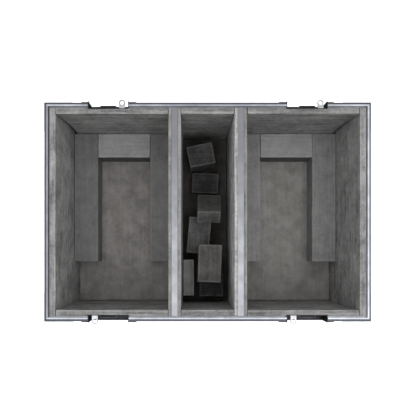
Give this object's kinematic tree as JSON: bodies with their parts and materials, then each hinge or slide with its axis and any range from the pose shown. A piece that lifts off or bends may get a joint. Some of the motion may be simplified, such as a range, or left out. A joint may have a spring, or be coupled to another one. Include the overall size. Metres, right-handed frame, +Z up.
{
  "type": "road case base",
  "caption": "Open base of a flight case: black panels in aluminium edging, foam lined, split by two dividers into three compartments with foam blocks.",
  "frame": {"origin": "under the middle of the case, on the ground", "axes": "+X along the case to the right compartment, +Y to the back, +Z up out of the open top"},
  "size_m": [0.716, 0.4838, 0.269],
  "materials": {
    "laminated_plywood": "black phenolic laminate over plywood, fine texture",
    "divider_board": "raw plywood edge, mostly hidden by the cap and the foam",
    "edging_aluminium": "mill finish extrusion, satin",
    "zinc_plated_steel": "bright zinc plate",
    "hardware_steel": "zinc plate seen edge on, dark",
    "fastener_steel": "zinc plate",
    "handle_rod_steel": "zinc plate, drawn rod",
    "spring_steel": "drawn wire",
    "grip_rubber": "moulded, matt",
    "foot_rubber": "moulded, matt",
    "lining_foam": "closed-cell foam, sawn face with streaks, matt",
    "floor_foam": "closed-cell foam, skin face, matt",
    "block_foam": "closed-cell foam, sawn, matt",
    "loose_foam": "closed-cell foam offcuts, matt"
  },
  "bodies": {
    "case": {"bottom_panel": "laminated_plywood", "front_panel": "laminated_plywood", "back_panel": "laminated_plywood", "left_panel": "laminated_plywood", "right_panel": "laminated_plywood", "rim_front": "edging_aluminium", "rim_back": "edging_aluminium", "rim_left": "edging_aluminium", "rim_right": "edging_aluminium", "corner_posts": "edging_aluminium", "bottom_edging": "edging_aluminium", "corner_braces": "zinc_plated_steel", "ball_corners": "zinc_plated_steel", "latch_dish_front_left": "zinc_plated_steel", "latch_dish_front_right": "zinc_plated_steel", "latch_dish_back_left": "zinc_plated_steel", "latch_dish_back_right": "zinc_plated_steel", "keeper_front_left": "hardware_steel", "keeper_front_right": "hardware_steel", "keeper_back_left": "hardware_steel", "keeper_back_right": "hardware_steel", "padlock_eyes": "hardware_steel", "latch_rivets": "fastener_steel", "edge_rivets": "fastener_steel", "handle_rivets": "fastener_steel", "handle_dish_left": "zinc_plated_steel", "handle_dish_right": "zinc_plated_steel", "handle_sleeves": "zinc_plated_steel", "handle_springs": "spring_steel", "rubber_feet": "foot_rubber", "foot_screws": "fastener_steel", "lining_left": "lining_foam", "lining_right": "lining_foam", "lining_front": "lining_foam", "lining_back": "lining_foam", "floor_foam_pads": "floor_foam", "divider_board_left": "divider_board", "divider_board_right": "divider_board", "divider_cap_left": "edging_aluminium", "divider_cap_right": "edging_aluminium", "divider_foam_left": "lining_foam", "divider_foam_right": "lining_foam", "side_block_left": "block_foam", "back_block_left": "block_foam", "inner_block_left": "block_foam", "side_block_right": "block_foam", "back_block_right": "block_foam", "inner_block_right": "block_foam"},
    "handle_left": {"handle_bail_left": "handle_rod_steel", "handle_grip_left": "grip_rubber"},
    "handle_right": {"handle_bail_right": "handle_rod_steel", "handle_grip_right": "grip_rubber"},
    "heap_base": {"loose_block_low": "loose_foam", "loose_block_front": "loose_foam"},
    "heap_top": {"loose_block_top": "loose_foam"},
    "heap_tilted": {"loose_block_tilted": "loose_foam"},
    "heap_upright": {"loose_block_upright": "loose_foam"},
    "heap_flat": {"loose_block_flat": "loose_foam"},
    "heap_slim": {"loose_block_slim": "loose_foam"}
  },
  "joints": [
    {"name": "left_handle_swing", "type": "hinge", "parent": "case", "child": "handle_left", "pos_m": [-0.3428, 0, 0.173], "axis": [0, 1, 0], "range_deg": [0, 90], "stiffness_Nm_per_rad": 0.4},
    {"name": "right_handle_swing", "type": "hinge", "parent": "case", "child": "handle_right", "pos_m": [0.3428, 0, 0.173], "axis": [0, -1, 0], "range_deg": [0, 90], "stiffness_Nm_per_rad": 0.4},
    {"name": "base_blocks_lift", "type": "slide", "parent": "case", "child": "heap_base", "axis": [0, 0, 1], "range_m": [0, 0.26]},
    {"name": "top_block_lift", "type": "slide", "parent": "heap_base", "child": "heap_top", "axis": [0, 0, 1], "range_m": [0, 0.26]},
    {"name": "tilted_block_lift", "type": "slide", "parent": "heap_base", "child": "heap_tilted", "axis": [0, 0, 1], "range_m": [0, 0.26]},
    {"name": "upright_block_lift", "type": "slide", "parent": "case", "child": "heap_upright", "axis": [0, 0, 1], "range_m": [0, 0.26]},
    {"name": "flat_block_lift", "type": "slide", "parent": "case", "child": "heap_flat", "axis": [0, 0, 1], "range_m": [0, 0.26]},
    {"name": "slim_block_lift", "type": "slide", "parent": "case", "child": "heap_slim", "axis": [0, 0, 1], "range_m": [0, 0.26]}
  ]
}
